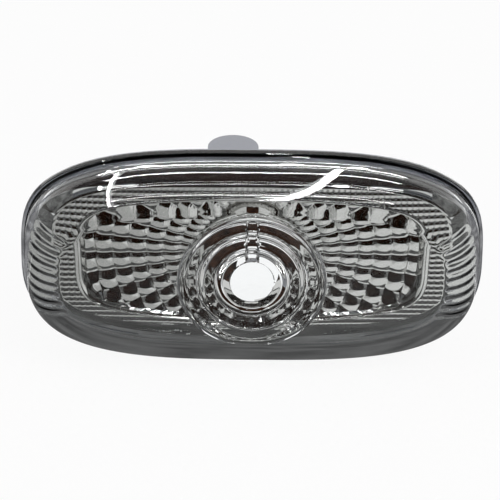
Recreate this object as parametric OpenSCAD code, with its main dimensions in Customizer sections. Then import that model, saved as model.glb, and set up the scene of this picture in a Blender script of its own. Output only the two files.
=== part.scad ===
// Side repeater lamp: clear domed lens, metallised reflector, rear housing and foam rim seal.
// X runs along the lamp, Z is up and the front faces -Y. The lens rim seats on the plane y = 0,
// and the bulb axis is the Y axis. All outlines are ovals between an ellipse and a rectangle.

/* [Lens] */
// Length of the lens at its rim
lens_len = 105; // [98:1:115]
// Height of the lens at its rim
lens_h = 50.8; // [48:0.2:56]
// Squareness of the outlines (2 is an ellipse)
squareness = 3.1; // [2.7:0.1:3.6]
// Depth of the lens from the rim plane to the crown
lens_depth = 17.6; // [16.5:0.1:20]
// Wall thickness of the lens
lens_wall = 2.2; // [1.8:0.1:2.6]
// Width of the lip that stands out around the rim
lip_w = 0.8; // [0.4:0.1:1.4]
// Thickness of the lip
lip_t = 1.8; // [1:0.1:2.4]
// Straight band between the rim plane and the rounded shoulder
band_d = 2.6; // [2.5:0.1:3.5]
// How far the rounded shoulder runs in from the band
shoulder_run = 8.2; // [7:0.1:10]
// Rise of the crowned front above the shoulder
crown_h = 1; // [0.5:0.1:1.6]

/* [Lens optics] */
// Distance from the lens's inner wall to the ringed optic
optic_in = 5.6; // [5.2:0.1:6.8]
// How far the rings' flat lies behind the lens's inner face
optic_sink = 0.5; // [0.3:0.1:1.2]
// Number of prism rings around the centre lens
ring_count = 3; // [2:1:4]
// Depth of each prism step
ring_step = 0.7; // [0.4:0.1:1.2]
// Radius of the centre lens
centre_r = 4.9; // [4:0.1:6]
// How far the centre lens bulges inwards
centre_bulge = 0.8; // [0.4:0.1:1.8]
// Number of flutes inside each end wall
flute_count = 9; // [6:1:12]
// Spacing of the flutes
flute_pitch = 2.4; // [1.8:0.1:2.6]
// Depth of the flutes
flute_depth = 0.5; // [0.3:0.1:0.8]

/* [Reflector] */
// Depth of the reflector's front flange ahead of the rim plane
flange_d = 4.8; // [4:0.1:6]
// Wall thickness of the reflector
refl_wall = 1.4; // [1.1:0.1:1.7]
// Distance from the lens's inner wall to the front flange's edge
flange_in = 4.2; // [3.8:0.1:5]
// Squareness of the front flange
flange_squareness = 4.2; // [3.4:0.1:4.8]
// Distance from the reflector's wall to the bowl at each end
bowl_in_x = 5.6; // [4:0.2:10]
// Distance from the reflector's wall to the bowl at the top and bottom
bowl_in_z = 3.3; // [3:0.1:4]
// Squareness of the bowl opening
bowl_squareness = 4; // [3:0.1:4.6]
// Depth of the bowl's floor ahead of the rim plane
bowl_floor_d = 0.3; // [0.2:0.1:0.8]
// How far the floor curves up to the bowl's lower edge
floor_rise = 3; // [0:0.1:3.2]
// Number of facet sectors around the bulb axis
sector_count = 44; // [36:4:48]
// Radial length of a facet
facet_len = 4.05; // [3:0.05:5]
// Bulge of a facet at its middle
facet_bulge = 0.4; // [0.1:0.05:0.7]
// Thickness of the apron that slopes from the flange out to the lens wall
apron_t = 0.9; // [0.7:0.1:1.2]
// Clearance of the apron to the lens wall and to the locating rib
apron_gap = 0.25; // [0.15:0.05:0.4]

/* [Bulb seat] */
// Distance from the bowl's top edge in to the bulb-holder hole
seat_in = 4; // [3.8:0.1:5]
// Wall of the collar around the hole
collar_wall = 1.2; // [0.9:0.1:1.8]
// Front face of the collar ahead of the rim plane
collar_d = 1.2; // [0.9:0.1:2.4]
// Back face of the collar behind the rim plane
collar_back = 2.2; // [1.6:0.1:3]
// Width of the two keyways that pass the holder's lugs
keyway_w = 2.8; // [2:0.1:4]
// Depth of the keyways into the collar
keyway_depth = 0.8; // [0.4:0.1:0.9]

/* [Housing] */
// Thickness of the housing flange behind the lens rim
hflange_t = 1.8; // [1.4:0.1:2.4]
// Step from the lens rim in to the housing flange
hflange_step = 0.8; // [0.4:0.1:1]
// Height of the locating rib that enters the lens
rib_h = 1.5; // [0.8:0.1:2]
// Thickness of the locating rib
rib_t = 1.2; // [0.8:0.1:1.6]
// Clearance between the locating rib and the lens wall
rib_gap = 0.2; // [0.1:0.05:0.4]
// Distance from the lens rim in to the skirt at each end
skirt_in_x = 8; // [6.5:0.5:9.5]
// Distance from the lens rim in to the skirt at the top and bottom
skirt_in_z = 6.9; // [6:0.1:7.3]
// Wall thickness of the skirt
skirt_wall = 1.8; // [1.4:0.1:2]
// How far the skirt reaches behind the rim plane
skirt_d = 8; // [7:0.5:11]
// Start of the housing floor behind the rim plane
floor_y = 1.4; // [1.4:0.1:2]
// Thickness of the housing floor
floor_t = 1.5; // [1.2:0.1:2]
// Land left between the skirt and the access opening behind the bulb seat
access_land = 0.9; // [0.6:0.1:2]
// Thickness of the stiffening ribs behind the floor
stiffener_t = 1.4; // [1:0.1:2]
// Height of the stiffening ribs behind the floor
stiffener_h = 3.5; // [2:0.1:4.5]
// Spacing of the stiffening ribs along the lamp
stiffener_pitch = 8.5; // [7:0.5:9]

/* [Fixings] */
// Distance of the tongue and latch from the bulb axis, to the photo's left
tongue_off = 4.5; // [0:0.5:10]
// Width of the round-ended locating tongue
tongue_w = 11.6; // [9:0.1:14]
// How far the tongue reaches behind the rim plane
tongue_d = 20; // [16:0.5:26]
// Thickness of the tongue
tongue_t = 2; // [1.6:0.1:2.6]
// Width of the sprung latch
latch_w = 9; // [6:0.5:12]
// How far the latch reaches behind the rim plane
latch_d = 15; // [12:0.5:19]
// Thickness of the latch
latch_t = 1.5; // [1.2:0.1:1.8]
// Height of the latch's barb
barb_h = 2; // [1:0.1:2.6]
// Width of the slots beside the latch
latch_slot = 1.2; // [0.8:0.1:2]
// Thickness of the body panel that the barb snaps behind
panel_t = 1; // [0.7:0.1:1.5]

/* [Rim seal] */
// Thickness of the foam seal
seal_t = 1.5; // [1:0.1:2.5]
// Step from the housing flange in to the seal's outer edge
seal_step = 1; // [0.6:0.1:2]
// Clearance between the seal and the skirt
seal_gap = 0.2; // [0.1:0.1:0.4]
// Clearance between the seal and the latch that passes it
latch_gap = 0.5; // [0.3:0.1:0.8]

/* [Hidden] */
eps = 0.01;
cut = 1;

// Lens outline, band and inner faces
lens_hx = lens_len / 2;
lens_hz = lens_h / 2;
band_hx = lens_hx - lip_w;
band_hz = lens_hz - lip_w;
inner_hx = band_hx - lens_wall;
inner_hz = band_hz - lens_wall;
shoulder_d = lens_depth - crown_h;
inner_run = shoulder_run;
inner_shoulder_d = shoulder_d - lens_wall;
optic_r = inner_hz - optic_in;
optic_d = inner_shoulder_d - optic_sink;
// The shoulder stops short of flat, where the crown's own slope takes over
shoulder_end = 80;
// Steps of each surface
outer_steps = 6;
crown_steps = 3;
inner_steps = 7;
window_steps = 3;

// The skirt follows the lens rim, and the reflector's wall stands around the skirt's inner edge
skirt_hx = lens_hx - skirt_in_x;
skirt_hz = lens_hz - skirt_in_z;
refl_hx = skirt_hx - skirt_wall + refl_wall;
refl_hz = skirt_hz - skirt_wall + refl_wall;
bowl_hx = refl_hx - bowl_in_x;
bowl_hz = refl_hz - bowl_in_z;
apron_d = rib_h + apron_gap;
bulb_hole_r = bowl_hz - seat_in;
bulb_hole_d = 2 * bulb_hole_r;
access_d = 2 * (skirt_hz - skirt_wall - access_land);
collar_r = bulb_hole_r + collar_wall;
facet_r0 = collar_r + 0.05;
// The collar's sections leave stock for the true bore
seat_r = bulb_hole_r - 1;
half_rows = ceil((bowl_hx - facet_r0) / (facet_len / 2));
wall_draft = 0.4;
edge_round = 0.5;
back_round = 1;

// Housing and seal outlines
hflange_hx = lens_hx - hflange_step;
hflange_hz = lens_hz - hflange_step;
rib_hx = inner_hx - rib_gap;
rib_hz = inner_hz - rib_gap;
seal_hx = hflange_hx - seal_step;
seal_hz = hflange_hz - seal_step;
latch_face = hflange_t + seal_t + panel_t;
oval_n = 96;

// Distance from the centre to an oval's edge in direction a
function oval_r(hx, hz, n, a) = pow(pow(abs(cos(a)) / hx, n) + pow(abs(sin(a)) / hz, n), -1 / n);

// Inset whose oval passes through radius r in direction a
function inset_of(hx, hz, a, r, lo, hi, tries = 22) =
    let (mid = (lo + hi) / 2)
    tries == 0 ? mid
    : oval_r(hx - mid, hz - mid, squareness, a) > r ? inset_of(hx, hz, a, r, mid, hi, tries - 1)
    : inset_of(hx, hz, a, r, lo, mid, tries - 1);

// Depth of a domed face with a rounded shoulder and a crowned front
function dome_d(hx, hz, run, top, a, r) =
    let (end_in = run * (1 - cos(shoulder_end)),
         end_d = band_d + (top - band_d) * sin(shoulder_end),
         end_r = oval_r(hx - end_in, hz - end_in, squareness, a))
    r < end_r ? end_d + (top + crown_h - end_d) * (1 - pow(r / end_r, 2))
    : let (inset = inset_of(hx, hz, a, r, 0, end_in))
      band_d + (top - band_d) * sqrt(max(0, 1 - pow(1 - inset / run, 2)));

// Directions of the outline's points: close together across the fluted ends
flute_n = 4 * flute_count;
side_n = 26;
flute_span = flute_count * flute_pitch;
end_a = atan2(flute_span / 2, inner_hx - 3);
side_t = atan2(tan(end_a) * lens_hx, lens_hz);
function side_a(t) = atan2(lens_hz * sin(t), lens_hx * cos(t));
end_right = [for (i = [0:flute_n - 1]) atan2((i / flute_n - 0.5) * flute_span, inner_hx - 3)];
side_top = [for (i = [0:side_n - 1]) side_a(side_t + (180 - 2 * side_t) * i / side_n)];
right_top = concat(end_right, side_top);
lens_a = concat(right_top, [for (a = right_top) a + 180]);
lens_n = len(lens_a);

// Depth of the flutes at outline point i, and their place on the wall's turn
function flute(i) = let (k = i % (flute_n + side_n)) k > flute_n ? 0 : (1 - cos(90 * k)) / 2;
function flute_fade(f) = f < 0.35 || f > 0.9 ? 0 : 1;

function at(a, r, d) = [r * cos(a), -d, r * sin(a)];

outer_face = concat(
    [for (step = [[0, 0], [0, lip_t], [lip_w, lip_t + 0.2]])
        [for (a = lens_a) at(a, oval_r(lens_hx - step[0], lens_hz - step[0], squareness, a), step[1])]],
    [for (k = [0:outer_steps])
        let (t = shoulder_end * k / outer_steps, inset = shoulder_run * (1 - cos(t)))
        [for (a = lens_a)
            at(a, oval_r(band_hx - inset, band_hz - inset, squareness, a),
               band_d + (shoulder_d - band_d) * sin(t))]],
    [for (k = [1:crown_steps])
        let (inset = shoulder_run * (1 - cos(shoulder_end)), s = 1 - k / (crown_steps + 1))
        [for (a = lens_a)
            let (r = s * oval_r(band_hx - inset, band_hz - inset, squareness, a))
            at(a, r, dome_d(band_hx, band_hz, shoulder_run, shoulder_d, a, r))]]);

// Prism rings: each face slopes forward from its inner edge, then steps back
ring_w = (optic_r - centre_r) / ring_count;
ring_profile = [for (k = [ring_count - 1:-1:0])
    each [[centre_r + ring_w * (k + 1) - 0.35, optic_d + ring_step], [centre_r + ring_w * k + 0.1, optic_d]]];
window_profile = [for (k = [0:window_steps - 1])
    let (s = 1 - k / window_steps)
    [s * centre_r, optic_d + 0.4 - centre_bulge * (1 - s * s)]];
optic_profile = concat([[optic_r, optic_d]], ring_profile, window_profile);

inner_face = concat(
    [[for (a = lens_a) at(a, oval_r(inner_hx, inner_hz, squareness, a), 0)]],
    [for (k = [0:inner_steps])
        let (f = k / inner_steps, t = shoulder_end * f, inset = inner_run * (1 - cos(t)))
        [for (i = [0:lens_n - 1])
            let (a = lens_a[i],
                 r = max(oval_r(inner_hx - inset, inner_hz - inset, squareness, a),
                         optic_r + 0.3 + 0.25 * (inner_steps - k)),
                 d = dome_d(inner_hx, inner_hz, inner_run, inner_shoulder_d, a, r),
                 bump = flute_depth * flute(i) * flute_fade(f))
            at(a, r - bump * cos(t), d - bump * sin(t))]],
    [[for (a = lens_a)
        at(a, optic_r + 0.15, dome_d(inner_hx, inner_hz, inner_run, inner_shoulder_d, a, optic_r + 0.15))]],
    [for (p = optic_profile) [for (a = lens_a) at(a, p[0], p[1])]]);

// Reflector outline directions: two to a facet sector
refl_n = 2 * sector_count;
refl_a = [for (i = [0:refl_n - 1]) 360 * i / refl_n];
function bowl_r(a) = oval_r(bowl_hx, bowl_hz, bowl_squareness, a);
function refl_r(a, inset) = oval_r(refl_hx - inset, refl_hz - inset, squareness, a);
function apron_r(a) = oval_r(inner_hx - apron_gap, inner_hz - apron_gap, squareness, a);
function flange_r(a, inset) =
    oval_r(inner_hx - flange_in - inset, inner_hz - flange_in - inset, flange_squareness, a);

// Rise of the bowl's floor below the bulb axis
function rise(a, r) = floor_rise * pow(min(0, r * sin(a) / bowl_hz), 2);

// Bulge of the facets at half step i around and j along: full at a facet's middle
function bulge(i, j) = facet_bulge * (i % 2) * (j % 2);

// A facet point; rows that the bowl's edge cuts off climb its wall instead
function bowl_point(i, j) =
    let (a = refl_a[i],
         r = facet_r0 + j * facet_len / 2,
         edge = bowl_r(a),
         j_edge = (edge - facet_r0) / (facet_len / 2),
         f = (j - j_edge) / (half_rows + 1 - j_edge),
         floor_d = bowl_floor_d + rise(a, min(r, edge)))
    r < edge - 0.05 ? at(a, r, floor_d + bulge(i, j) * min(1, (edge - r) / 2))
    : at(a, edge + wall_draft * f, floor_d + (flange_d - floor_d) * f);

// Back of the bowl's floor at its edge, which follows the rise
function back_d(a) = bowl_floor_d - refl_wall + 0.6 * rise(a, bowl_r(a));

refl_skin = concat(
    [for (d = [0, apron_d]) [for (a = refl_a) at(a, refl_r(a, 0), d)]],
    [for (d = [apron_d, apron_d + apron_t]) [for (a = refl_a) at(a, apron_r(a), d)]],
    [for (step = [[0, flange_d - edge_round], [edge_round, flange_d]])
        [for (a = refl_a) at(a, flange_r(a, step[0]), step[1])]],
    [[for (a = refl_a) at(a, bowl_r(a) + wall_draft + edge_round, flange_d)]],
    [for (j = [half_rows:-1:0]) [for (i = [0:refl_n - 1]) bowl_point(i, j)]],
    [for (p = [[collar_r, collar_d], [seat_r, collar_d], [seat_r, -collar_back], [collar_r, -collar_back]])
        [for (a = refl_a) at(a, p[0], p[1])]],
    [[for (a = refl_a) at(a, collar_r, bowl_floor_d - refl_wall)]],
    [[for (a = refl_a) at(a, bowl_r(a) + refl_wall - back_round, back_d(a))]],
    [[for (a = refl_a) at(a, bowl_r(a) + refl_wall, back_d(a) + back_round)]],
    [[for (a = refl_a) at(a, bowl_r(a) + refl_wall, flange_d - refl_wall)]],
    [[for (a = refl_a) at(a, refl_r(a, refl_wall), flange_d - refl_wall)]],
    [[for (a = refl_a) at(a, refl_r(a, refl_wall), 0)]]);

// Triangles between section k and the next, of n points each
function belt(n, from, to) =
    [for (i = [0:n - 1])
        let (j = (i + 1) % n)
        each [[from * n + i, from * n + j, to * n + j], [from * n + i, to * n + j, to * n + i]]];

// Solid whose outer sections run to a tip and whose inner sections run back from one
module cap_shell(outer, inner, outer_tip, inner_tip) {
    n = len(outer[0]);
    sections = concat(outer, inner);
    tip_out = len(sections) * n;
    first_in = len(outer);
    polyhedron(
        points = concat([for (s = sections) each s], [outer_tip, inner_tip]),
        faces = concat(
            [for (k = [0:first_in - 2]) each belt(n, k, k + 1)],
            [for (i = [0:n - 1]) [(first_in - 1) * n + i, (first_in - 1) * n + (i + 1) % n, tip_out]],
            belt(n, first_in, 0),
            [for (k = [first_in:len(sections) - 2]) each belt(n, k + 1, k)],
            [for (i = [0:n - 1])
                [(len(sections) - 1) * n + (i + 1) % n, (len(sections) - 1) * n + i, tip_out + 1]]),
        convexity = 12);
}

// Solid whose sections close on themselves around a central hole
module ring_shell(sections) {
    n = len(sections[0]);
    count = len(sections);
    polyhedron(
        points = [for (s = sections) each s],
        faces = [for (k = [0:count - 1]) each belt(n, k, (k + 1) % count)],
        convexity = 12);
}

// Flat oval plate from y0 to y1
module oval_plate(hx, hz, y0, y1) {
    translate([0, y1, 0])
        rotate([90, 0, 0])
            linear_extrude(y1 - y0)
                polygon([for (i = [0:oval_n - 1])
                    let (a = side_a(360 * i / oval_n), r = oval_r(hx, hz, squareness, a))
                    [r * cos(a), r * sin(a)]]);
}

// Oval ring from y0 to y1
module oval_ring(hx, hz, wall, y0, y1) {
    difference() {
        oval_plate(hx, hz, y0, y1);
        oval_plate(hx - wall, hz - wall, y0 - cut, y1 + cut);
    }
}

// Cylinder along Y from y0 to y1
module bar_y(d, y0, y1) {
    translate([0, y1, 0]) rotate([90, 0, 0]) cylinder(h = y1 - y0, d = d, $fn = 96);
}

// Clear domed lens: lipped rim, fluted ends and the ringed optic on its inner face
module lens() {
    color([0.86, 0.89, 0.9, 0.4])
        cap_shell(outer_face, inner_face, [0, -lens_depth, 0],
                  [0, -(optic_d + 0.4 - centre_bulge), 0]);
}

// Metallised reflector: apron, flange, faceted bowl and the keyed bulb seat
module reflector() {
    color([0.78, 0.79, 0.8])
        difference() {
            ring_shell(refl_skin);
            bar_y(bulb_hole_d, -collar_d - cut, collar_back + cut);
            for (side = [-1, 1])
                translate([-keyway_w / 2, -collar_d - cut, side * bulb_hole_r - keyway_depth])
                    cube([keyway_w, collar_d + collar_back + 2 * cut, 2 * keyway_depth]);
        }
}

// Rear housing: welded flange, skirt, floor with access opening, tongue and latch
module housing() {
    color([0.57, 0.59, 0.63]) {
        difference() {
            union() {
                oval_plate(hflange_hx, hflange_hz, 0, hflange_t);
                oval_ring(rib_hx, rib_hz, rib_t, -rib_h, eps);
                oval_plate(skirt_hx, skirt_hz, 0, skirt_d);
            }
            oval_plate(skirt_hx - skirt_wall, skirt_hz - skirt_wall, -cut, floor_y);
            difference() {
                oval_plate(skirt_hx - skirt_wall, skirt_hz - skirt_wall, floor_y + floor_t, skirt_d + cut);
                stiffeners();
            }
            bar_y(access_d, 0, skirt_d + 2 * cut);
            translate([-tongue_off, 0, 0]) latch_slots();
        }
        translate([-tongue_off, 0, 0]) {
            tongue();
            latch();
        }
    }
}

// Upright ribs between the skirt's walls, clear of the access opening
module stiffeners() {
    first = access_d / 2 + stiffener_t / 2 + 1.5;
    for (side = [-1, 1])
        for (k = [0:1:2])
            translate([side * (first + k * stiffener_pitch) - stiffener_t / 2, floor_y, -skirt_hz])
                cube([stiffener_t, floor_t + stiffener_h, 2 * skirt_hz]);
}

// Locating tongue with a full-round end, level with the skirt's top, and its two gussets
module tongue() {
    translate([0, 0, skirt_hz - tongue_t]) {
        translate([-tongue_w / 2, hflange_t / 2, 0])
            cube([tongue_w, tongue_d - tongue_w / 2 - hflange_t / 2, tongue_t]);
        translate([0, tongue_d - tongue_w / 2, 0]) cylinder(h = tongue_t, d = tongue_w, $fn = 64);
    }
    for (side = [-1, 1])
        translate([side * (tongue_w / 2 - 2) - 0.6, 0, 0])
            rotate([90, 0, 90])
                linear_extrude(1.2)
                    polygon([[skirt_d - 2, skirt_hz - tongue_t - 3],
                             [skirt_d, skirt_hz - tongue_t - 3],
                             [tongue_d - tongue_w / 2, skirt_hz - tongue_t + eps],
                             [skirt_d - 2, skirt_hz - tongue_t + eps]]);
}

// Sprung latch in the skirt's lower wall, with a barb that snaps behind the body panel
module latch() {
    translate([latch_w / 2, 0, 0])
        rotate([90, 0, -90])
            linear_extrude(latch_w)
                polygon([[-floor_y - floor_t / 2, -skirt_hz + latch_t],
                         [-latch_d, -skirt_hz + latch_t],
                         [-latch_d, -skirt_hz + 0.4],
                         [-latch_face - 0.3, -skirt_hz - barb_h],
                         [-latch_face, -skirt_hz - barb_h + 0.2],
                         [-latch_face, -skirt_hz],
                         [-floor_y - floor_t / 2, -skirt_hz]]);
}

// Slots that free the latch from the skirt
module latch_slots() {
    for (side = [-1, 1])
        translate([side * (latch_w + latch_slot) / 2 - latch_slot / 2, floor_y + floor_t, -skirt_hz - cut])
            cube([latch_slot, skirt_d, skirt_wall + cut + 0.6]);
}

// Foam seal behind the housing flange, notched where the latch passes it
module rim_seal() {
    color([0.1, 0.1, 0.11])
        difference() {
            oval_plate(seal_hx, seal_hz, hflange_t, hflange_t + seal_t);
            oval_plate(skirt_hx + seal_gap, skirt_hz + seal_gap, hflange_t - cut, hflange_t + seal_t + cut);
            translate([-tongue_off - latch_w / 2 - latch_gap, hflange_t - cut, -skirt_hz - barb_h - latch_gap])
                cube([latch_w + 2 * latch_gap, seal_t + 2 * cut, barb_h + 2 * latch_gap]);
        }
}

lens();
reflector();
housing();
rim_seal();
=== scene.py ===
"""Side repeater lamp: its clear lens and metallised reflector, lofted finely over the frame."""

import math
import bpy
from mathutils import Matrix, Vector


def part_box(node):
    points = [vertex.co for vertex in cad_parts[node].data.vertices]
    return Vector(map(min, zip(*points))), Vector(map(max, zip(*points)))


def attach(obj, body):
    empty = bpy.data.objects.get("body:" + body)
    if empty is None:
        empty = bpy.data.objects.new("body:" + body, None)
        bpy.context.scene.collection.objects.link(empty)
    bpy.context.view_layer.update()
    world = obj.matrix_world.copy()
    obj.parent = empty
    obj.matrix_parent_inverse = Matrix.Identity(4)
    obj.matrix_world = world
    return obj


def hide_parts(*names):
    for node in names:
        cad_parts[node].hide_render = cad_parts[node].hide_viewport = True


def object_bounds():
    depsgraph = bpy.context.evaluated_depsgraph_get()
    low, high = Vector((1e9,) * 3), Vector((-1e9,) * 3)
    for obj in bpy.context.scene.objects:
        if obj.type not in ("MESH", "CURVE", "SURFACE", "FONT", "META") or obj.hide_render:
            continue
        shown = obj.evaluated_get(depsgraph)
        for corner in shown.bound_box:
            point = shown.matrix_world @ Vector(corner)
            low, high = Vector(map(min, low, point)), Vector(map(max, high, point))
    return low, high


bl_info = {
    "name": "Side Repeater Lamp",
    "version": (1, 0, 0),
    "blender": (4, 5, 0),
    "location": "View3D > Sidebar > Repeater",
    "description": "Dresses a side repeater lamp: ringed lens, faceted reflector, housing and seal",
    "category": "Object",
}

import bmesh
import bpy
from mathutils import Matrix, Vector

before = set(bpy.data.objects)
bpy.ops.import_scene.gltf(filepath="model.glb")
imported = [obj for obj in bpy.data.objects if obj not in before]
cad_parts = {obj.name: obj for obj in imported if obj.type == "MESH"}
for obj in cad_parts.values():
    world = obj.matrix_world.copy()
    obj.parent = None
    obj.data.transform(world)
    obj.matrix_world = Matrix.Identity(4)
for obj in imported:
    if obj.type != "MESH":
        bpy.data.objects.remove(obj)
CAD_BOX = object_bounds()
MM = 0.001

LENS_LOW, LENS_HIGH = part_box("lens")
REFLECTOR_LOW, REFLECTOR_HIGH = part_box("reflector")


def length(name, description, default_mm, least_mm=0.0):
    """A size property, written in millimetres and kept in metres."""
    return bpy.props.FloatProperty(
        name=name, description=description, default=default_mm * MM, min=least_mm * MM,
        precision=5, subtype="DISTANCE", unit="LENGTH")


def oval_shape(name, description, power):
    """The shape of an oval outline: 2 for an ellipse, more for a squarer one."""
    return bpy.props.FloatProperty(name=name, description=description, default=power, min=2.0)


def whole_number(name, description, default, least=1):
    return bpy.props.IntProperty(name=name, description=description, default=default, min=least)


def view_angle(name, description, degrees):
    return bpy.props.FloatProperty(
        name=name, description=description, default=math.radians(degrees), subtype="ANGLE")


def colour(name, description, tone):
    return bpy.props.FloatVectorProperty(
        name=name, description=description, default=tone, min=0.0, max=1.0, subtype="COLOR")


class LensSizes(bpy.types.PropertyGroup):
    squareness: oval_shape("Squareness", "Shape of the oval outlines, 2 for an ellipse", 3.1)
    wall: length("Wall", "Thickness of the lens", 2.2)
    lip_width: length("Lip width", "How far the rim's lip stands out", 0.8)
    lip_thickness: length("Lip thickness", "Thickness of the rim's lip", 1.8)
    band: length("Band", "Straight band between the rim plane and the shoulder", 2.6)
    shoulder: length("Shoulder", "How far the rounded shoulder runs in", 8.2)
    crown: length("Crown", "Rise of the front above the shoulder", 1.0)
    optic_radius: length("Optic radius", "Radius of the ringed optic", 16.8)
    optic_depth: length("Optic depth", "Depth of the flat that the rings are cut into", 13.9)
    ring_count: whole_number("Rings", "Prism rings around the centre lens", 3)
    ring_step: length("Ring step", "Height of each prism step", 0.7)
    centre_radius: length("Centre radius", "Radius of the centre lens", 4.9)
    centre_bulge: length("Centre bulge", "How far the centre lens bulges inwards", 0.51)
    centre_tilt: bpy.props.FloatProperty(
        name="Centre tilt", description="Slope of the centre lens across and up", default=0.106,
        min=0.0)
    rib_width: length("Rib width", "Width of the rib that runs up the optic", 3.0)
    rib_height: length("Rib height", "How far the rib stands out of the optic's inner side", 0.9)
    flute_count: whole_number("Flutes", "Flutes inside each end wall", 9)
    flute_pitch: length("Flute pitch", "Spacing of the flutes", 2.4)
    flute_depth: length("Flute depth", "Depth of the flutes", 0.32)


class ReflectorSizes(bpy.types.PropertyGroup):
    wall: length("Wall", "Thickness of the reflector", 1.4)
    foot_half_length: length(
        "Foot half length", "Half length of the wall that stands on the housing", 44.1)
    foot_half_height: length(
        "Foot half height", "Half height of the wall that stands on the housing", 18.1)
    flange_half_length: length("Flange half length", "Half length of the front flange", 45.3)
    flange_half_height: length("Flange half height", "Half height of the front flange", 18.2)
    flange_squareness: oval_shape("Flange squareness", "Shape of the front flange", 4.2)
    apron_thickness: length("Apron thickness", "Thickness of the apron around the flange", 0.9)
    apron_depth: length("Apron depth", "Back of the apron ahead of the rim plane", 1.75)
    apron_hollow: length(
        "Apron hollow", "How far the apron's slope sags between its edges", 0.25)
    bowl_half_length: length("Bowl half length", "Half length of the bowl's opening", 38.5)
    bowl_half_height: length(
        "Bowl foot", "Height of the bowl's opening below the bulb axis", 14.8)
    bowl_top: length("Bowl top", "Height of the bowl's opening above the bulb axis", 13.5)
    bowl_squareness: oval_shape("Bowl squareness", "Shape of the bowl's opening", 4.0)
    floor_depth: length("Floor depth", "Depth of the bowl's floor ahead of the rim plane", 0.3)
    floor_rise: length("Floor rise", "How far the floor curves up to the bowl's lower edge", 3.0)
    wall_draft: length("Draft", "How far the bowl's wall leans out", 0.8)
    sectors: whole_number("Sectors", "Facet sectors around the bulb axis", 44, 8)
    facet_length: length("Facet length", "Radial length of a facet", 4.05)
    facet_bulge: length(
        "Facet bulge", "Bulge of a facet across each of its two directions", 0.43)
    hole_radius: length("Hole radius", "Radius of the bulb-holder hole", 10.8)
    collar_wall: length("Collar wall", "Wall of the collar around the hole", 1.2)
    collar_depth: length("Collar depth", "Front of the collar ahead of the rim plane", 1.2)
    keyway_width: length("Keyway width", "Width of the two keyways", 2.8)
    keyway_depth: length("Keyway depth", "Depth of the two keyways", 0.8)
    edge_round: length("Edge round", "Rounding of the flange's edges", 0.5)
    bead_width: length("Bead width", "Width of the bead around the bowl", 0.9)
    bead_height: length("Bead height", "Height of the bead around the bowl", 0.35)
    dot_pitch: length("Dot pitch", "Spacing of the small pillows along the flange", 1.28)
    dot_pitch_up: length("Dot pitch up", "Spacing of the small pillows up the flange", 1.38)
    dot_height: length("Dot height", "Height of the small pillows", 0.19)


class FinishColours(bpy.types.PropertyGroup):
    lens: colour("Lens", "Tint of the clear plastic", (0.95, 0.965, 0.97))
    metal: colour("Metal", "Tone of the reflector's bright coat", (0.58, 0.575, 0.56))
    housing_dark: colour(
        "Housing, darker", "Darker tone of the grey plastic", (0.215, 0.225, 0.26))
    housing_light: colour(
        "Housing, lighter", "Lighter tone of the grey plastic", (0.24, 0.25, 0.285))
    seal_dark: colour("Seal, darker", "Darker tone of the foam", (0.012, 0.012, 0.013))
    seal_light: colour("Seal, lighter", "Lighter tone of the foam", (0.03, 0.03, 0.032))


class StageSizes(bpy.types.PropertyGroup):
    azimuth: view_angle("Azimuth", "Camera's angle around the lamp", -0.3)
    elevation: view_angle("Elevation", "Camera's angle above the lamp's axis", 29.7)
    roll: view_angle("Roll", "Lamp's turn in the picture", 0.57)
    distance: length("Distance", "Camera's distance from the lamp", 900.0)
    frame_width: length("Frame width", "Width that the picture shows at the lamp", 114.0)
    aim_x: length("Aim across", "Lamp's shift to the right in the picture", 0.44, -50.0)
    aim_up: length("Aim up", "Lamp's shift up in the picture", 0.46, -50.0)


def oval_radius(half_x, half_z, squareness, angle):
    """Distance from the centre to an oval's edge."""
    across = abs(math.cos(angle)) / half_x
    up = abs(math.sin(angle)) / half_z
    return (across ** squareness + up ** squareness) ** (-1.0 / squareness)


def at(angle, radius, depth):
    """A point at that angle and radius about the bulb axis, that deep in front of the rim plane."""
    return Vector((radius * math.cos(angle), -depth, radius * math.sin(angle)))


def deselect_all():
    if bpy.context.object and bpy.context.object.mode != "OBJECT":
        bpy.ops.object.mode_set(mode="OBJECT")
    bpy.ops.object.select_all(action="DESELECT")


def loft(name, rings, closed):
    """Extrudes a circle of points through rings of places. Closed joins the last ring to the
    first, otherwise both ends are drawn to a pole. Each point keeps its ring's number in the
    layer 'ring' and its place in the ring in the layer 'spoke'."""
    deselect_all()
    bpy.ops.mesh.primitive_circle_add(vertices=len(rings[0]), radius=0.01)
    piece = bpy.context.object
    piece.name = piece.data.name = name
    bpy.ops.object.mode_set(mode="EDIT")
    mesh = bmesh.from_edit_mesh(piece.data)
    spoke = mesh.verts.layers.int.new("spoke")
    mesh.verts.layers.int.new("ring")
    for i, vert in enumerate(sorted(mesh.verts, key=lambda v: v.index)):
        vert[spoke] = i
        vert.co = rings[0][i]
    bmesh.update_edit_mesh(piece.data)
    for k, ring in enumerate(rings[1:], 1):
        bpy.ops.mesh.extrude_edges_move()
        mesh = bmesh.from_edit_mesh(piece.data)
        spoke = mesh.verts.layers.int["spoke"]
        ring_of = mesh.verts.layers.int["ring"]
        for vert in mesh.verts:
            if vert.select:
                vert.co = ring[vert[spoke]]
                vert[ring_of] = k
    last = len(rings) - 1
    if closed:
        pick_rings(piece, {0, last})
        bpy.ops.mesh.bridge_edge_loops()
    else:
        for k in (0, last):
            pick_rings(piece, {k})
            bpy.ops.mesh.merge(type="CENTER")
    bpy.ops.mesh.select_all(action="SELECT")
    bpy.ops.mesh.normals_make_consistent(inside=False)
    bpy.ops.object.mode_set(mode="OBJECT")
    return piece


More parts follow.
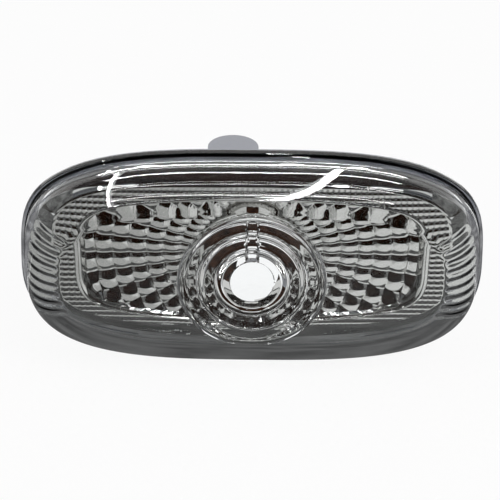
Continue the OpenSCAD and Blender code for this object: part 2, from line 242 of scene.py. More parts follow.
def pick_rings(piece, wanted):
    """Selects the points of those rings only."""
    bpy.ops.mesh.select_mode(type="VERT")
    bpy.ops.mesh.select_all(action="DESELECT")
    mesh = bmesh.from_edit_mesh(piece.data)
    ring_of = mesh.verts.layers.int["ring"]
    for vert in mesh.verts:
        vert.select = vert[ring_of] in wanted
    mesh.select_flush(True)
    bmesh.update_edit_mesh(piece.data)


def paint_rings(piece, material, first, last):
    """Gives the faces between two rings another material."""
    piece.data.materials.append(material)
    number = len(piece.data.materials) - 1
    ring_of = piece.data.attributes["ring"].data
    for face in piece.data.polygons:
        if all(first <= ring_of[v].value <= last for v in face.vertices):
            face.material_index = number


def smooth(piece, degrees):
    deselect_all()
    piece.select_set(True)
    bpy.context.view_layer.objects.active = piece
    bpy.ops.object.shade_smooth_by_angle(angle=math.radians(degrees))


def crease(piece, rings, spokes):
    """Keeps an edge sharp where it lies in one of those rings, or along one of those spokes."""
    ring_of = piece.data.attributes["ring"].data
    spoke_of = piece.data.attributes["spoke"].data
    low, high = min(rings), max(rings)
    for edge in piece.data.edges:
        one, two = edge.vertices
        if not (low <= ring_of[one].value <= high and low <= ring_of[two].value <= high):
            continue
        along = ring_of[one].value == ring_of[two].value and ring_of[one].value in rings
        across = spoke_of[one].value == spoke_of[two].value and spoke_of[one].value in spokes
        if along or across:
            edge.use_edge_sharp = True


def cut_with(piece, cutter):
    """Cuts one piece with another and deletes the cutter."""
    deselect_all()
    bpy.context.view_layer.objects.active = piece
    piece.select_set(True)
    cut = piece.modifiers.new("cut", "BOOLEAN")
    cut.operation = "DIFFERENCE"
    cut.solver = "EXACT"
    cut.object = cutter
    bpy.ops.object.modifier_apply(modifier=cut.name)
    bpy.data.objects.remove(cutter, do_unlink=True)


class Nodes:
    """A node tree, built call by call."""

    def __init__(self, tree):
        self.tree = tree

    def add(self, kind, **values):
        node = self.tree.nodes.new(kind)
        for key, value in values.items():
            if key in node.inputs:
                node.inputs[key].default_value = value
            else:
                setattr(node, key, value)
        return node

    def link(self, out, into):
        self.tree.links.new(out, into)

    def math(self, operation, *values):
        """The result of an operation on numbers and other nodes' results."""
        node = self.add("ShaderNodeMath", operation=operation)
        for socket, value in zip(node.inputs, values):
            if isinstance(value, (int, float)):
                socket.default_value = value
            else:
                self.link(value, socket)
        return node.outputs[0]

    def place(self):
        """The Object coordinates, split."""
        split = self.add("ShaderNodeSeparateXYZ")
        self.link(self.add("ShaderNodeTexCoord").outputs["Object"], split.inputs[0])
        return split.outputs

    def noise(self, scale, detail=2.0):
        noise = self.add("ShaderNodeTexNoise", Scale=scale, Detail=detail)
        self.link(self.add("ShaderNodeTexCoord").outputs["Object"], noise.inputs["Vector"])
        return noise.outputs["Fac"]

    def seen(self):
        """1 where it is looked at, mirrored or seen through plastic, 0 where it only lights."""
        path = self.add("ShaderNodeLightPath")
        looked_at = self.math(
            "MAXIMUM", path.outputs["Is Camera Ray"], path.outputs["Is Glossy Ray"])
        return self.math("MAXIMUM", looked_at, path.outputs["Is Transmission Ray"])


class Finish(Nodes):
    """The material of one of the lamp's pieces."""

    def __init__(self, name):
        self.material = bpy.data.materials.new(name)
        self.material.use_nodes = True
        super().__init__(self.material.node_tree)
        self.shader = self.tree.nodes["Principled BSDF"]

    def bump(self, height, distance, strength=1.0):
        bump = self.add("ShaderNodeBump", Distance=distance, Strength=strength)
        self.link(height, bump.inputs["Height"])
        self.link(bump.outputs[0], self.shader.inputs["Normal"])

    def roughness(self, low, high, scale):
        """Roughness that wanders between two values."""
        spread = self.add("ShaderNodeMapRange")
        spread.inputs["To Min"].default_value = low
        spread.inputs["To Max"].default_value = high
        self.link(self.noise(scale), spread.inputs["Value"])
        self.link(spread.outputs["Result"], self.shader.inputs["Roughness"])

    def mottle(self, dark, light, scale):
        """Base colour that wanders between two tones."""
        mix = self.add("ShaderNodeMix", data_type="RGBA")
        mix.inputs["A"].default_value = (*dark, 1)
        mix.inputs["B"].default_value = (*light, 1)
        self.link(self.noise(scale, 4.0), mix.inputs["Factor"])
        self.link(mix.outputs["Result"], self.shader.inputs["Base Color"])


class Glow(Nodes):
    """The material of a card or of the floor, which glows by itself."""

    def __init__(self, name):
        self.material = bpy.data.materials.new(name)
        self.material.use_nodes = True
        super().__init__(self.material.node_tree)
        self.tree.nodes.clear()
        self.out = self.add("ShaderNodeOutputMaterial")
        self.glow = self.add("ShaderNodeEmission")


def clear_plastic(tint):
    """Clear plastic, whose sheen is held back so that the metal behind it keeps its dark tones."""
    nodes = Finish("clear_plastic")
    nodes.shader.inputs["Base Color"].default_value = (*tint, 1)
    nodes.shader.inputs["Transmission Weight"].default_value = 1.0
    nodes.shader.inputs["IOR"].default_value = 1.49
    nodes.shader.inputs["Specular Tint"].default_value = (0.45, 0.45, 0.45, 1)
    nodes.shader.inputs["Roughness"].default_value = 0.0
    return nodes.material


def metallised(name, tone):
    nodes = Finish(name)
    nodes.shader.inputs["Metallic"].default_value = 1.0
    nodes.shader.inputs["Base Color"].default_value = (*tone, 1)
    nodes.roughness(0.02, 0.05, 400.0)
    return nodes


def dotted_metal(name, tone, pitch, pitch_up, height):
    """Metallised face with rows of small pillows, their tilt worked out at every point."""
    nodes = metallised(name, tone)
    x, _, z = nodes.place()
    tilt = nodes.add("ShaderNodeCombineXYZ", Y=-1.0)
    for place, step, into in ((x, pitch, "X"), (z, pitch_up, "Z")):
        phase = nodes.math("FRACT", nodes.math("DIVIDE", place, step))
        centred = nodes.math("SUBTRACT", nodes.math("MULTIPLY", phase, 2.0), 1.0)
        nodes.link(nodes.math("MULTIPLY", centred, 4 * height / step), tilt.inputs[into])
    turn = nodes.add("ShaderNodeVectorTransform", vector_type="NORMAL", convert_from="OBJECT",
                     convert_to="WORLD")
    nodes.link(tilt.outputs[0], turn.inputs[0])
    nodes.link(turn.outputs[0], nodes.shader.inputs["Normal"])
    return nodes.material


def grey_plastic(dark, light):
    nodes = Finish("grey_plastic")
    nodes.mottle(dark, light, 120.0)
    nodes.roughness(0.48, 0.6, 900.0)
    nodes.bump(nodes.noise(2500.0, 3.0), 0.02 * MM, 0.6)
    return nodes.material


def seal_foam(dark, light):
    nodes = Finish("seal_foam")
    nodes.mottle(dark, light, 900.0)
    nodes.shader.inputs["Roughness"].default_value = 0.85
    nodes.bump(nodes.noise(3500.0, 4.0), 0.08 * MM)
    return nodes.material


FLUTE_STEPS = 8  # points across one flute


def lens_angles(sizes, half_x, half_z):
    """Directions of the lens's points, close together across the fluted ends, and how many there
    are across one end and around half of the lens."""
    flutes_in = 3 * MM
    inner_x = half_x - sizes.lip_width - sizes.wall - flutes_in
    span = sizes.flute_count * sizes.flute_pitch
    end_steps, side_steps = FLUTE_STEPS * sizes.flute_count, 180
    end = [math.atan2((i / end_steps - 0.5) * span, inner_x) for i in range(end_steps)]
    turn = math.atan2(math.tan(-end[0]) * half_x, half_z)
    side = []
    for i in range(side_steps):
        t = turn + (math.pi - 2 * turn) * i / side_steps
        side.append(math.atan2(half_z * math.sin(t), half_x * math.cos(t)))
    right_and_top = end + side
    everywhere = right_and_top + [a + math.pi for a in right_and_top]
    return everywhere, end_steps, end_steps + side_steps


class Dome:
    """One face of the lens: straight band, rounded shoulder and crowned front."""

    END = math.radians(80)

    def __init__(self, half_x, half_z, run, band, top, crown, squareness):
        self.half_x, self.half_z, self.run = half_x, half_z, run
        self.band, self.top, self.crown, self.squareness = band, top, crown, squareness
        self.end_inset = run * (1 - math.cos(self.END))
        self.end_depth = band + (top - band) * math.sin(self.END)

    def edge(self, inset, angle):
        return oval_radius(self.half_x - inset, self.half_z - inset, self.squareness, angle)

    def depth(self, angle, radius):
        """Depth of the face at a point."""
        end_radius = self.edge(self.end_inset, angle)
        if radius < end_radius:
            rise = self.top + self.crown - self.end_depth
            return self.end_depth + rise * (1 - (radius / end_radius) ** 2)
        low, high = 0.0, self.end_inset
        for _ in range(24):
            middle = (low + high) / 2
            if self.edge(middle, angle) > radius:
                low = middle
            else:
                high = middle
        turned = math.sqrt(max(0.0, 1 - (1 - low / self.run) ** 2))
        return self.band + (self.top - self.band) * turned


def lens_rings(sizes):
    """Rings of the lens, from the middle of its front over the lip to the middle of its optic."""
    half_x, half_z = LENS_HIGH[0], LENS_HIGH[2]
    top = -LENS_LOW[1] - sizes.crown
    angles, flute_end, half_count = lens_angles(sizes, half_x, half_z)
    outer = Dome(half_x - sizes.lip_width, half_z - sizes.lip_width, sizes.shoulder, sizes.band,
                 top, sizes.crown, sizes.squareness)
    inner = Dome(outer.half_x - sizes.wall, outer.half_z - sizes.wall, sizes.shoulder, sizes.band,
                 top - sizes.wall, sizes.crown, sizes.squareness)

    def oval(inset, ring_depth):
        return [at(a, oval_radius(half_x - inset, half_z - inset, sizes.squareness, a), ring_depth)
                for a in angles]

    rings = []
    front_steps = 13
    for k in range(1, front_steps):
        front = [(a, k / front_steps * outer.edge(outer.end_inset, a)) for a in angles]
        rings.append([at(a, radius, outer.depth(a, radius)) for a, radius in front])
    shoulder_steps = 18
    for k in range(shoulder_steps, -1, -1):
        t = outer.END * k / shoulder_steps
        inset = outer.run * (1 - math.cos(t))
        depth = outer.band + (outer.top - outer.band) * math.sin(t)
        rings.append([at(a, outer.edge(inset, a), depth) for a in angles])
    small, fillet = 0.15 * MM, 0.25 * MM
    rings.append(oval(sizes.lip_width, sizes.lip_thickness + fillet))
    rings.append(oval(sizes.lip_width - small, sizes.lip_thickness + small / 3))
    rings.append(oval(small, sizes.lip_thickness))
    rings.append(oval(0.0, sizes.lip_thickness - small))
    rings.append(oval(0.0, small))
    rings.append(oval(small, 0.0))
    rings.append([at(a, inner.edge(0.0, a), 0.0) for a in angles])
    rings.extend(fluted_rings(sizes, inner, angles, flute_end, half_count))
    optic_edge = sizes.optic_radius + 0.12 * MM
    rings.append([at(a, optic_edge, inner.depth(a, optic_edge)) for a in angles])
    for radius, depth in optic_profile(sizes):
        tilt = sizes.centre_tilt * radius if radius <= sizes.centre_radius else 0.0
        rings.append([at(a, radius, depth - rib(sizes, a, radius)
                         - tilt * (math.cos(a) + math.sin(a))) for a in angles])
    return rings


def fluted_rings(sizes, inner, angles, flute_end, half_count):
    """Rings of the lens's inner shoulder, with the flutes of both ends fading in and out."""
    inner_steps = 20
    fade_in, fade_out, fade_speed = 0.30, 0.95, 9
    clear_of_optic, ring_gap = 0.3 * MM, 0.08 * MM
    rings = []
    for k in range(inner_steps + 1):
        share = k / inner_steps
        t = inner.END * share
        inset = inner.run * (1 - math.cos(t))
        closest = sizes.optic_radius + clear_of_optic + ring_gap * (inner_steps - k)
        fade = min(1.0, max(0.0, min(share - fade_in, fade_out - share) * fade_speed))
        ring = []
        for i, a in enumerate(angles):
            radius = max(inner.edge(inset, a), closest)
            step = i % half_count
            flute = (1 - math.cos(math.tau * step / FLUTE_STEPS)) / 2 if step < flute_end else 0.0
            bump = sizes.flute_depth * flute * fade
            ring.append(at(a, radius - bump * math.cos(t),
                           inner.depth(a, radius) - bump * math.sin(t)))
        rings.append(ring)
    return rings


def rib(sizes, angle, radius):
    """Height of the rib that runs up the optic from the centre lens."""
    short_of_edge, ramp, flank = 1.6 * MM, 0.8 * MM, 3
    beside = 1 - abs(radius * math.cos(angle)) / (sizes.rib_width / 2)
    along = min(radius - sizes.centre_radius, sizes.optic_radius - short_of_edge - radius) / ramp
    if math.sin(angle) < 0 or beside <= 0 or along <= 0:
        return 0.0
    return sizes.rib_height * min(1.0, beside * flank) * min(1.0, along)


def optic_profile(sizes):
    """Radius and depth of the optic's rounded prism rings, from its edge to its centre."""
    flat = sizes.optic_depth
    profile = [(sizes.optic_radius, flat)]
    width = (sizes.optic_radius - sizes.centre_radius) / sizes.ring_count
    rise, fall, ring_steps = 0.16, 0.60, 20
    for k in range(sizes.ring_count, 0, -1):
        edge = sizes.centre_radius + width * k
        for step in range(1, ring_steps):
            s = step / ring_steps
            if s < rise:
                height = math.sin(math.pi / 2 * s / rise) ** 2
            elif s < fall:
                height = (1 + math.cos(math.pi * (s - rise) / (fall - rise))) / 2
            else:
                height = 0.0
            profile.append((edge - width * s, flat + sizes.ring_step * height))
    centre_steps, centre_edge = 10, flat + 0.4 * MM
    for k in range(centre_steps):
        s = 1 - k / centre_steps
        profile.append((s * sizes.centre_radius, centre_edge - sizes.centre_bulge * (1 - s * s)))
    return profile


class LAMP_OT_lens(bpy.types.Operator):
    """Lofts the clear lens with its lip, fluted ends and ringed optic"""

    bl_idname = "lamp.lens"
    bl_label = "Clear lens"

    def execute(self, context):
        lens = loft("clear_lens", lens_rings(context.scene.lamp_lens), closed=False)
        lens.data.materials.append(clear_plastic(context.scene.lamp_colours.lens))
        smooth(lens, 24)
        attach(lens, "root")
        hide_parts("lens")
        return {"FINISHED"}


# Points across a facet, from its edge at -1 towards the next one's edge at 1. Past 0.93 on either
# side lies the flat land between two facets.
FACET_PLACES = (-1.0, -0.93, -0.72, -0.48, -0.24, 0.0, 0.24, 0.48, 0.72, 0.93)
FACET_STEPS = len(FACET_PLACES)
LAND_EDGES = (1, FACET_STEPS - 1)  # where a facet's curve meets the land


def reflector_rings(sizes, squareness):
    """Rings of the reflector, the first and the last ring of its dotted face, and the rings where
    two rows of facets meet."""

    def steps_along(i):
        """How many facets lie before a point, with the share of the one it is in."""
        return i // FACET_STEPS + (FACET_PLACES[i % FACET_STEPS] + 1) / 2

    angles = [math.tau / sizes.sectors * steps_along(i) for i in range(sizes.sectors * FACET_STEPS)]
    apron_x, apron_z, flange = REFLECTOR_HIGH[0], REFLECTOR_HIGH[2], -REFLECTOR_LOW[1]
    half_x, half_z = sizes.flange_half_length, sizes.flange_half_height
    collar = sizes.hole_radius + sizes.collar_wall
    back = -REFLECTOR_HIGH[1]
    first_facet = collar + 0.05 * MM
    floor, wall, rounding = sizes.floor_depth, sizes.wall, sizes.edge_round
    small, corner = 0.15 * MM, 0.3 * MM

    def foot(inset, depth):
        foot_x, foot_z = sizes.foot_half_length - inset, sizes.foot_half_height - inset
        return [at(a, oval_radius(foot_x, foot_z, squareness, a), depth) for a in angles]

    def flange_edge(inset, depth):
        return [at(a, oval_radius(half_x - inset, half_z - inset, sizes.flange_squareness, a),
                   depth) for a in angles]

    def rise(a, radius):
        """Rise of the bowl's floor below the bulb axis."""
        return sizes.floor_rise * min(0.0, radius * math.sin(a) / sizes.bowl_half_height) ** 2

    def bowl_edge(a):
        half_height = sizes.bowl_half_height if math.sin(a) < 0 else sizes.bowl_top
        return oval_radius(sizes.bowl_half_length, half_height, sizes.bowl_squareness, a)

    def bowl(outset, depth):
        return [at(a, bowl_edge(a) + outset, depth) for a in angles]

    def circle(radius, depth):
        return [at(a, radius, depth) for a in angles]

    def slope(share):
        """The apron's slope, from its outer edge to the flange's edge."""
        low, high = sizes.apron_depth + sizes.apron_thickness, flange - rounding
        depth = low + (high - low) * share - sizes.apron_hollow * math.sin(math.pi * share)
        return [at(a, oval_radius(apron_x, apron_z, squareness, a) * (1 - share)
                   + oval_radius(half_x, half_z, sizes.flange_squareness, a) * share, depth)
                for a in angles]

    def apron_edge(depth):
        return [at(a, oval_radius(apron_x, apron_z, squareness, a), depth) for a in angles]

    rings = [foot(0, 0), foot(0, sizes.apron_depth), apron_edge(sizes.apron_depth)]
    rings.append(apron_edge(sizes.apron_depth + sizes.apron_thickness - 0.1 * MM))
    apron_steps, first_share = 6, 0.03
    for k in range(apron_steps + 1):
        rings.append(slope(first_share + (1 - first_share) * k / apron_steps))
    rings.append(flange_edge(rounding * 0.3, flange - rounding * 0.3))
    rings.append(flange_edge(rounding, flange))
    dots_from = len(rings)
    rings.append(flange_edge(rounding + 0.2 * MM, flange))
    rings.append(bowl(sizes.wall_draft + rounding + sizes.bead_width, flange))
    dots_to = len(rings) - 1
    bead_steps = 8
    for k in range(1, bead_steps):
        turn = math.pi * k / bead_steps
        rings.append(bowl(sizes.wall_draft + rounding + sizes.bead_width * (1 + math.cos(turn)) / 2,
                          flange + sizes.bead_height * math.sin(turn)))
    rings.append(bowl(sizes.wall_draft + rounding, flange - sizes.bead_height))
    rings.append(bowl(sizes.wall_draft + rounding * 0.3, flange - rounding))
    past_edge = sizes.bowl_half_length + 0.4 * MM
    rows = math.ceil((past_edge - first_facet) / sizes.facet_length) * FACET_STEPS
    bowl_from = len(rings)
    nudge = 1e-9  # keeps a point on a row's own line in that row
    short_of_edge = 0.02 * MM

    def facet(i, radius):
        """Bulge of the facets at a point, with a narrow flat land between them."""
        land = FACET_PLACES[-1]
        u = min(land, abs(FACET_PLACES[i % FACET_STEPS])) / land
        v = min(land, abs(2 * ((radius - first_facet) / sizes.facet_length % 1) - 1)) / land
        width = radius * math.tau / sizes.sectors
        return sizes.facet_bulge * (width / sizes.facet_length * (1 - u * u) + (1 - v * v))

    def row_radius(j):
        return first_facet + sizes.facet_length * steps_along(j)

    for j in range(rows, -1, -1):
        ring = []
        radius = row_radius(j)
        for i, a in enumerate(angles):
            edge = bowl_edge(a)
            if radius < edge - short_of_edge:
                ring.append(at(a, radius, floor + rise(a, radius) + facet(i, radius + nudge)))
            else:
                up = (radius - edge) / (row_radius(rows + 1) - edge)
                base = floor + rise(a, edge) + facet(i, edge)
                ring.append(at(a, edge + sizes.wall_draft * up,
                               base + (flange - rounding - base) * up))
        rings.append(ring)
    rings.append(circle(collar, sizes.collar_depth - corner))
    rings.append(circle(collar - corner, sizes.collar_depth))
    rings.append(circle(sizes.hole_radius + small, sizes.collar_depth))
    rings.append(circle(sizes.hole_radius, sizes.collar_depth - small))
    rings.append(circle(sizes.hole_radius, back + small))
    rings.append(circle(sizes.hole_radius + small, back))
    rings.append(circle(collar, back))
    rings.append(circle(collar, floor - wall))
    back_rise, rounded_corner = 0.6, ((1, 0), (0.3, 0.3), (0, 1))
    for inset, up in rounded_corner:
        rings.append([at(a, bowl_edge(a) + wall - inset * MM,
                         floor - wall + back_rise * rise(a, bowl_edge(a)) + up * MM)
                      for a in angles])
    rings.append(bowl(wall, flange - wall))
    rings.append(foot(wall, flange - wall))
    rings.append(foot(wall, 0))
    row_lines = {bowl_from + rows - j for j in range(rows + 1) if j % FACET_STEPS in LAND_EDGES}
    return rings, dots_from, dots_to, row_lines


def keyway_cutter(sizes):
    """A bar through the hole that leaves a keyway above it and one below."""
    deselect_all()
    bpy.ops.mesh.primitive_cube_add(size=1)
    bar = bpy.context.object
    reach = 2 * (sizes.hole_radius + sizes.keyway_depth)
    bar.scale = (sizes.keyway_width, 20 * MM, reach)
    bpy.ops.object.transform_apply(location=True, rotation=True, scale=True)
    return bar


class LAMP_OT_reflector(bpy.types.Operator):
    """Lofts the metallised reflector with its dotted flange, pillow facets and keyed hole"""

    bl_idname = "lamp.reflector"
    bl_label = "Reflector"

    def execute(self, context):
        sizes = context.scene.lamp_reflector
        rings, dots_from, dots_to, row_lines = reflector_rings(
            sizes, context.scene.lamp_lens.squareness)
        reflector = loft("metallised_reflector", rings, closed=True)
        tone = context.scene.lamp_colours.metal
        dotted = dotted_metal(
            "metallised_dots", tone, sizes.dot_pitch, sizes.dot_pitch_up, sizes.dot_height)
        reflector.data.materials.append(metallised("metallised", tone).material)
        paint_rings(reflector, dotted, dots_from, dots_to)
        cut_with(reflector, keyway_cutter(sizes))
        smooth(reflector, 28)
        spokes = range(sizes.sectors * FACET_STEPS)
        crease(reflector, row_lines, {i for i in spokes if i % FACET_STEPS in LAND_EDGES})
        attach(reflector, "root")
        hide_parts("reflector")
        return {"FINISHED"}


class LAMP_OT_housing(bpy.types.Operator):
    """Finishes the rear housing in matt grey plastic and the rim seal in foam"""

    bl_idname = "lamp.housing"
    bl_label = "Housing and seal"

    def execute(self, context):
        colours = context.scene.lamp_colours
        grey = grey_plastic(colours.housing_dark, colours.housing_light)
        foam = seal_foam(colours.seal_dark, colours.seal_light)
        for name, material in (("housing", grey), ("rim_seal", foam)):
            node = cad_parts[name]
            for slot in node.material_slots:
                slot.material = material
        return {"FINISHED"}


def card(name, centre, size, normal, material, oval=False):
    """A flat card of the studio, facing along normal."""
    deselect_all()
    if oval:
        bpy.ops.mesh.primitive_circle_add(vertices=64, radius=0.5, fill_type="NGON")
    else:
        bpy.ops.mesh.primitive_plane_add(size=1)
    plane = bpy.context.object
    plane.name = name
    plane.scale = (size[0], size[1], 1)
    plane.rotation_euler = Vector(normal).to_track_quat("Z", "Y").to_euler()
    plane.location = centre
    plane.data.materials.append(material)
    return plane


def floor_material():
    """Pale floor: white where it is looked at or mirrored, and still shaded by the lamp."""
    glow_share = 0.92
    nodes = Glow("pale_floor")
    mix = nodes.add("ShaderNodeMixShader")
    diffuse = nodes.add("ShaderNodeBsdfDiffuse", Color=(0.85, 0.85, 0.85, 1))
    nodes.link(nodes.math("MULTIPLY", nodes.seen(), glow_share), mix.inputs[0])
    nodes.link(diffuse.outputs[0], mix.inputs[1])
    nodes.link(nodes.glow.outputs[0], mix.inputs[2])
    nodes.link(mix.outputs[0], nodes.out.inputs["Surface"])
    return nodes.material


def card_material(name, dark, light, scale, stretch=(1, 1, 1), across=None):
    """Studio card whose glow wanders between two tones, or runs from one to the other between
    the two places across the lamp that are given."""
    nodes = Glow(name)
    squeeze = nodes.add("ShaderNodeMapping", Scale=stretch)
    noise = nodes.add("ShaderNodeTexNoise", Scale=scale, Detail=3.0)
    nodes.link(nodes.add("ShaderNodeTexCoord").outputs["Object"], squeeze.inputs["Vector"])
    nodes.link(squeeze.outputs["Vector"], noise.inputs["Vector"])
    level, places = noise.outputs["Fac"], (0.35, 0.65)
    if across:
        spread = nodes.add("ShaderNodeMapRange", interpolation_type="SMOOTHSTEP")
        spread.inputs["From Min"].default_value, spread.inputs["From Max"].default_value = across
        nodes.link(nodes.place()[0], spread.inputs["Value"])
        wander = 0.2
        level = nodes.math("MULTIPLY_ADD", level, wander, spread.outputs["Result"])
        places = (0.1, 1.0)
    ramp = nodes.add("ShaderNodeValToRGB")
    for element, position, tone in zip(ramp.color_ramp.elements, places, (dark, light)):
        element.position = position
        element.color = (*tone, 1)
    nodes.link(level, ramp.inputs["Fac"])
    nodes.link(ramp.outputs["Color"], nodes.glow.inputs["Color"])
    nodes.link(nodes.glow.outputs[0], nodes.out.inputs["Surface"])
    return nodes.material


def studio_card(name, centre, size, normal, material, oval=False):
    """A card that only mirrors and clear plastic see."""
    shade = card(name, centre, size, normal, material, oval)
    shade.visible_camera = False
    shade.visible_diffuse = False
    shade.visible_shadow = False
    return shade


def floor_card(name, place, size, lift_mm, material, oval=False):
    """A studio card that lies a little above the floor."""
    centre = (*place, CAD_BOX[0][2] + lift_mm * MM)
    return studio_card(name, centre, size, (0, 0, 1), material, oval)


def lay_floor_cards():
    """Lays the pale table before the lamp, with painted shade darkening it towards the right, the
    darker floor around it, a dark card beneath the lamp that is a painted shadow, and behind the
    hole a dark card with a small white oval, which is what shows in the middle of the optic."""
    # The table's glow runs darker towards the right: painted shade.
    table = card_material("table_card", (0.62, 0.62, 0.61), (1.0, 1.0, 0.99), 1.0,
                          across=(0.07, -0.07))
    table_side = card_material("table_side_card", (0.06, 0.06, 0.06), (0.26, 0.26, 0.26), 14.0)
    gloss_table = card_material(
        "gloss_table_card", (0.003, 0.003, 0.003), (0.03, 0.03, 0.03), 3.0)
    far_table = card_material(
        "far_table_card", (0.008, 0.006, 0.005), (0.05, 0.035, 0.028), 3.0)
    # Painted shadow: a dark card under the lamp, seen only in the metal and through the clear
    # plastic, stands for the shade the lamp casts beneath itself.
    painted_shadow = card_material("painted_shadow_card", (0.06, 0.06, 0.06), (0.14, 0.14, 0.14), 12.0)
    back = card_material("back_card", (0.004, 0.003, 0.003), (0.045, 0.022, 0.014), 30.0)
    back_floor = card_material("back_floor_card", (0.08, 0.08, 0.085), (0.34, 0.34, 0.35), 12.0,
                               stretch=(0.4, 4.0, 1))
    spot = card_material("spot_card", (0.97, 0.97, 0.97), (1, 1, 1), 30.0)
    floor_card("table", (0, -0.10), (0.22, 0.17), 0.5, table).visible_glossy = False
    for hand in (-1, 1):
        floor_card("table_side", (hand * 0.26, -0.10), (0.30, 0.30), 0.5, table_side)
    floor_card("gloss_table", (0, -0.14), (0.7, 0.26), 0.4, gloss_table)
    floor_card("far_table", (0, -0.74), (2.4, 1.12), 0.3, far_table)
    # Painted shadow beneath the lamp.
    floor_card("painted_shadow", (0, 0), (0.24, 0.036), 1.0, painted_shadow)
    floor_card("behind", (0, 0.049), (0.07, 0.062), 1.0, back)
    floor_card("back_floor", (0, 0.330), (0.07, 0.50), 1.0, back_floor)
    for hand in (-1, 1):
        floor_card("back_floor", (hand * 0.30, 0.30), (0.53, 0.56), 1.0, back_floor)
    floor_card("spot", (0.0015, 0.031), (0.010, 0.015), 1.4, spot, oval=True)


def hang_room_cards():
    """Hangs the dark oval before the lamp, the wall around it, the ceiling and the two sides."""
    low = CAD_BOX[0][2]
    dark = card_material("dark_card", (0.001, 0.001, 0.001), (0.024, 0.010, 0.006), 3.5)
    wall = card_material("wall_card", (0.15, 0.15, 0.15), (0.40, 0.40, 0.39), 2.0)
    overhead = card_material("overhead_card", (0.015, 0.016, 0.018), (0.28, 0.29, 0.31), 2.2,
                             stretch=(0.3, 4.0, 1))
    side = card_material("side_card", (0.08, 0.08, 0.08), (0.32, 0.32, 0.32), 4.0)
    studio_card("front", (0, -1.2, low + 0.9), (2.6, 2.4), (0, 1, 0), dark, oval=True)
    studio_card("wall", (0, -1.3, low + 0.75), (3.2, 1.5), (0, 1, 0), wall)
    studio_card("overhead", (0, 0.175, low + 1.2), (2.6, 1.85), (0, 0, -1), overhead)
    for hand in (-1, 1):
        studio_card("side", (hand * 1.1, -0.2, low + 0.55), (2.2, 1.1), (-hand, 0, 0), side)


def white_world():
    """White where it is looked at or mirrored, softer as light."""
    world = bpy.data.worlds.new("studio")
    bpy.context.scene.world = world
    world.use_nodes = True
    nodes = Nodes(world.node_tree)
    background = nodes.tree.nodes["Background"]
    background.inputs["Color"].default_value = (1, 1, 1, 1)
    level = nodes.add("ShaderNodeMapRange")
    level.inputs["To Min"].default_value = 0.55
    level.inputs["To Max"].default_value = 1.0
    nodes.link(nodes.seen(), level.inputs["Value"])
    nodes.link(level.outputs["Result"], background.inputs["Strength"])


def softbox(name, place, aim, size, power):
    data = bpy.data.lights.new(name, "AREA")
    data.shape = "RECTANGLE"
    data.size, data.size_y = size
    data.energy = power
    lamp = bpy.data.objects.new(name, data)
    bpy.context.scene.collection.objects.link(lamp)
    lamp.location = place
    lamp.rotation_euler = (Vector(aim) - Vector(place)).to_track_quat("-Z", "Y").to_euler()
    return lamp


def tube(name, start, end, width, power):
    """A long thin light, aimed at the lamp."""
    start, end = Vector(start), Vector(end)
    middle = (start + end) / 2
    light = softbox(name, middle, (0, 0, 0), ((end - start).length, width), power)
    along = (end - start).normalized()
    back = middle - along * middle.dot(along)
    back.normalize()
    light.rotation_euler = Matrix((along, back.cross(along), back)).transposed().to_euler()
    return light


def hang_lamps():
    """Two soft lamps that only light, and the long tubes that are mirrored as white streaks."""
    for light in (softbox("key", (0.7, -0.6, 0.8), (0, 0, 0), (0.7, 0.5), 5),
                  softbox("fill", (-0.8, -0.6, 0.6), (0, 0, 0), (0.6, 0.5), 3)):
        light.visible_glossy = light.visible_transmission = False
    tubes = [tube("right_tube", (0.019, -0.50, 0.85), (0.130, 0.75, 0.80), 0.024, 5.0),
             tube("left_tube", (-0.37, -0.50, 0.85), (-0.30, 0.75, 0.80), 0.022, 4.5)]
    distance, half_length, width = 0.9, 0.35, 0.030
    for elevation, power in ((75, 2.6), (100, 1.6), (122, 2.6), (137, 2.4)):
        turn = math.radians(elevation)
        ahead, height = -distance * math.cos(turn), distance * math.sin(turn)
        tubes.append(tube("streak", (-half_length, ahead, height), (half_length, ahead, height),
                          width, power))
    for light in tubes:
        light.visible_diffuse = False


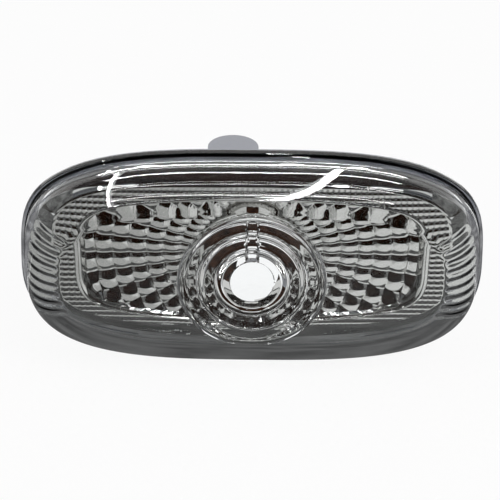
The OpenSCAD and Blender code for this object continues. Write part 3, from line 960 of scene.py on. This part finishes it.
def photo_camera(sizes):
    """Camera at the photo's angle, rolled so that the lamp's length runs level."""
    out = Vector((math.sin(sizes.azimuth) * math.cos(sizes.elevation),
                  -math.cos(sizes.azimuth) * math.cos(sizes.elevation),
                  math.sin(sizes.elevation)))
    right = Vector((1, 0, 0))
    right = (right - right.dot(out) * out).normalized()
    up = out.cross(right)
    data = bpy.data.cameras.new("photo_camera")
    data.sensor_width = 36.0
    data.lens = data.sensor_width * sizes.distance / sizes.frame_width
    data.clip_start = 0.01
    camera = bpy.data.objects.new("photo_camera", data)
    bpy.context.scene.collection.objects.link(camera)
    turn = Matrix((right, up, out)).transposed() @ Matrix.Rotation(sizes.roll, 3, "Z")
    place = out * sizes.distance - right * sizes.aim_x - up * sizes.aim_up
    camera.matrix_world = Matrix.Translation(place) @ turn.to_4x4()
    bpy.context.scene.camera = camera


class LAMP_OT_stage(bpy.types.Operator):
    """Sets the pale floor, the cards that are mirrored, the lights and the camera"""

    bl_idname = "lamp.stage"
    bl_label = "Stage"

    def execute(self, context):
        card("floor", (0, 0, CAD_BOX[0][2]), (8, 8), (0, 0, 1), floor_material())
        lay_floor_cards()
        hang_room_cards()
        hang_lamps()
        white_world()
        photo_camera(context.scene.lamp_stage)
        context.scene.view_settings.view_transform = "Standard"
        return {"FINISHED"}


class LAMP_PT_panel(bpy.types.Panel):
    bl_label = "Side Repeater Lamp"
    bl_idname = "LAMP_PT_panel"
    bl_space_type = "VIEW_3D"
    bl_region_type = "UI"
    bl_category = "Repeater"

    def draw(self, context):
        for group in GROUPS:
            sizes = getattr(context.scene, group)
            for name in sizes.__annotations__:
                self.layout.prop(sizes, name)
        for operator in OPERATORS:
            self.layout.operator(operator.bl_idname)


OPERATORS = (LAMP_OT_lens, LAMP_OT_reflector, LAMP_OT_housing, LAMP_OT_stage)
GROUPS = {
    "lamp_lens": LensSizes,
    "lamp_reflector": ReflectorSizes,
    "lamp_colours": FinishColours,
    "lamp_stage": StageSizes,
}


def register():
    for item in (*GROUPS.values(), *OPERATORS, LAMP_PT_panel):
        bpy.utils.register_class(item)
    for name, group in GROUPS.items():
        setattr(bpy.types.Scene, name, bpy.props.PointerProperty(type=group))


def unregister():
    for name in GROUPS:
        delattr(bpy.types.Scene, name)
    for item in reversed((*GROUPS.values(), *OPERATORS, LAMP_PT_panel)):
        bpy.utils.unregister_class(item)


def main():
    register()
    bpy.ops.lamp.lens()
    bpy.ops.lamp.reflector()
    bpy.ops.lamp.housing()
    bpy.ops.lamp.stage()


if __name__ == "__main__":
    main()
